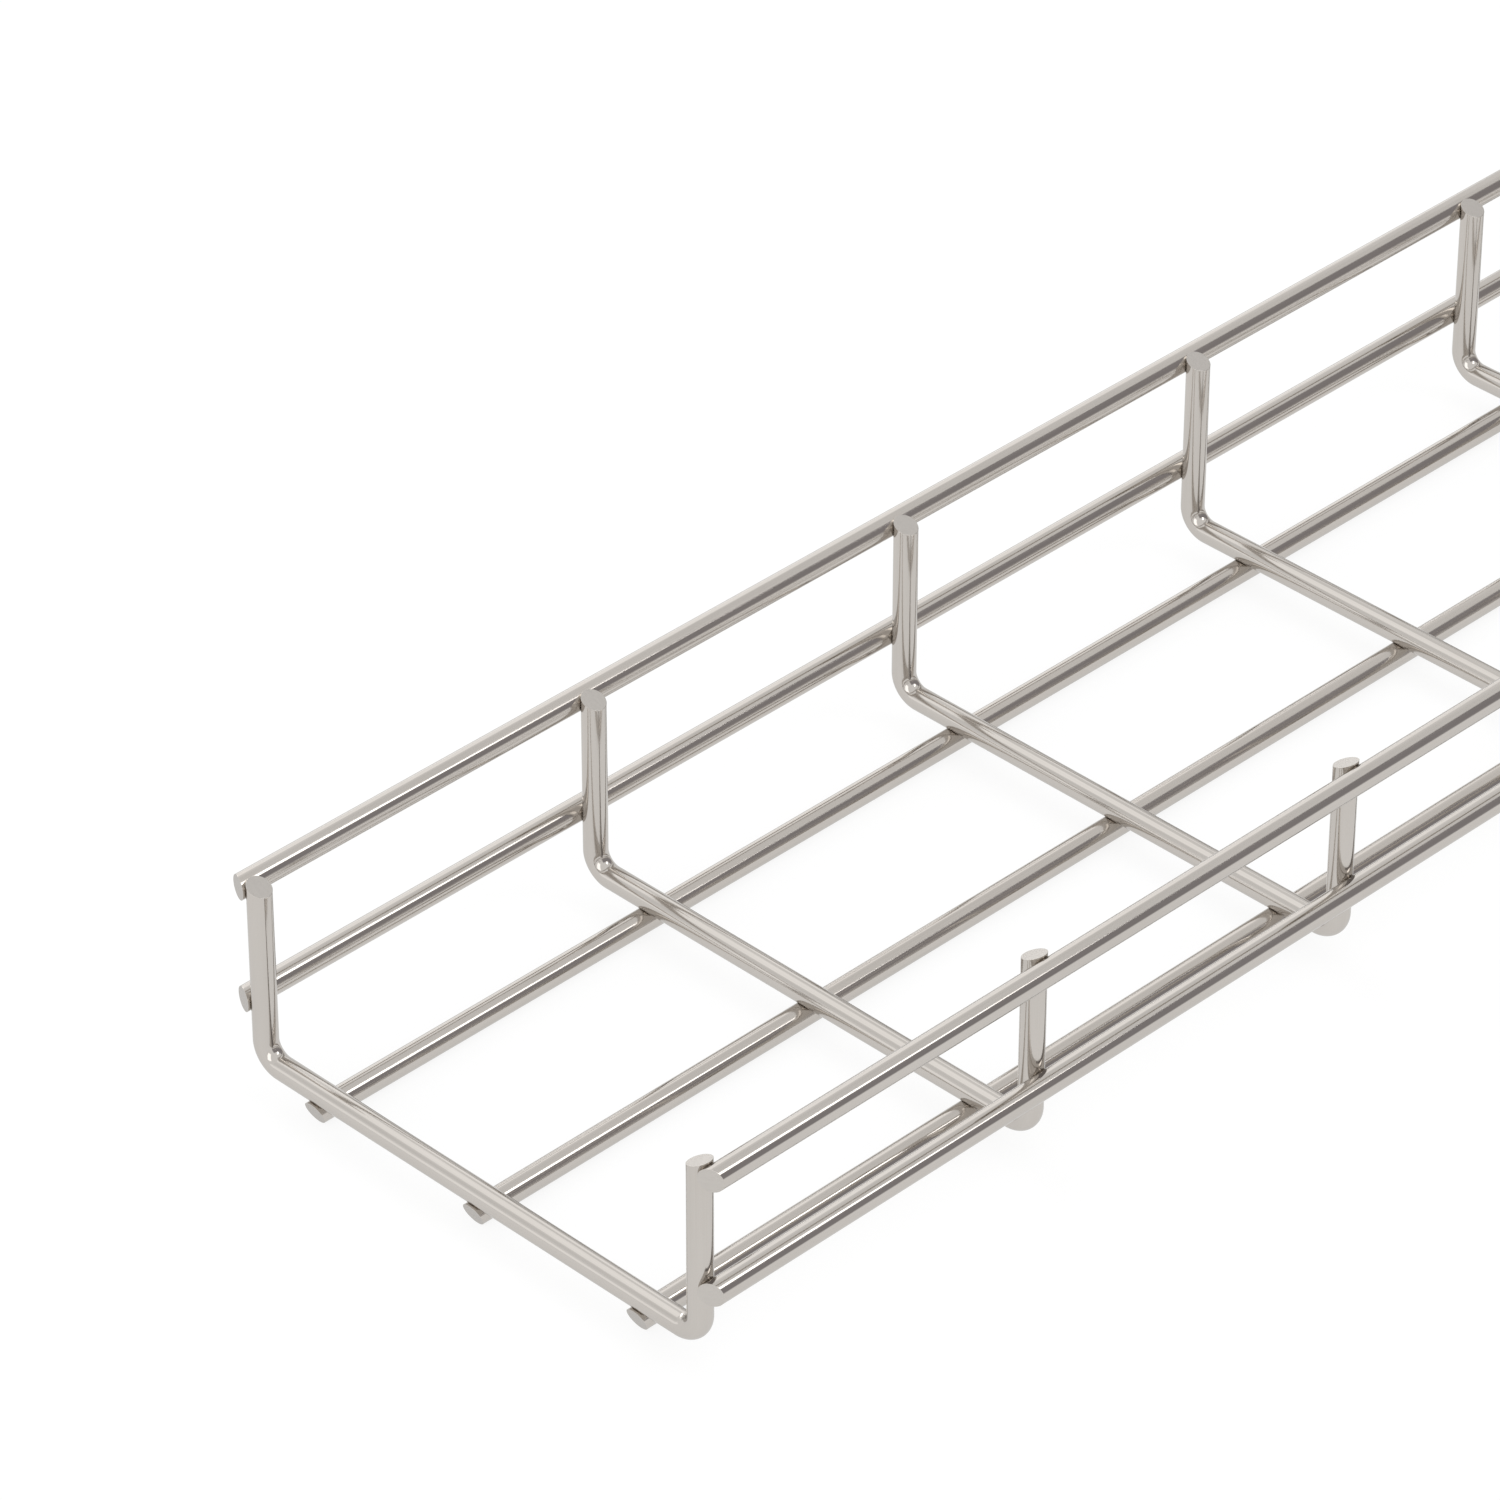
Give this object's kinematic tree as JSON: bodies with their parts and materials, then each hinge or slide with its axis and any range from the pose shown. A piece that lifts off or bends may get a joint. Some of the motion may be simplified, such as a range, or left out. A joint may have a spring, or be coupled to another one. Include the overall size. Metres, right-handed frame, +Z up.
{
  "type": "wire mesh cable basket",
  "caption": "Straight length of welded wire mesh cable basket: bent U-shaped cross wires on straight long wires, open at the top and at both ends, to carry cables.",
  "frame": {"origin": "middle of the tray in plan, on the level that its floor wires lie on", "axes": "+Y along the tray, +X across it, +Z up and out of the open side"},
  "size_m": [0.15, 3.0058, 0.055],
  "materials": {
    "steel_wire": "bright drawn wire, smooth and fairly glossy, faintly warm grey"
  },
  "bodies": {
    "root": {"floor_wire_1": "steel_wire", "floor_wire_2": "steel_wire", "floor_wire_3": "steel_wire", "left_side_wire_1": "steel_wire", "left_side_wire_2": "steel_wire", "right_side_wire_1": "steel_wire", "right_side_wire_2": "steel_wire", "cross_wire_01": "steel_wire", "cross_wire_02": "steel_wire", "cross_wire_03": "steel_wire", "cross_wire_04": "steel_wire", "cross_wire_05": "steel_wire", "cross_wire_06": "steel_wire", "cross_wire_07": "steel_wire", "cross_wire_08": "steel_wire", "cross_wire_09": "steel_wire", "cross_wire_10": "steel_wire", "cross_wire_11": "steel_wire", "cross_wire_12": "steel_wire", "cross_wire_13": "steel_wire", "cross_wire_14": "steel_wire", "cross_wire_15": "steel_wire", "cross_wire_16": "steel_wire", "cross_wire_17": "steel_wire", "cross_wire_18": "steel_wire", "cross_wire_19": "steel_wire", "cross_wire_20": "steel_wire", "cross_wire_21": "steel_wire", "cross_wire_22": "steel_wire", "cross_wire_23": "steel_wire", "cross_wire_24": "steel_wire", "cross_wire_25": "steel_wire", "cross_wire_26": "steel_wire", "cross_wire_27": "steel_wire", "cross_wire_28": "steel_wire", "cross_wire_29": "steel_wire", "cross_wire_30": "steel_wire", "cross_wire_31": "steel_wire"}
  },
  "joints": []
}
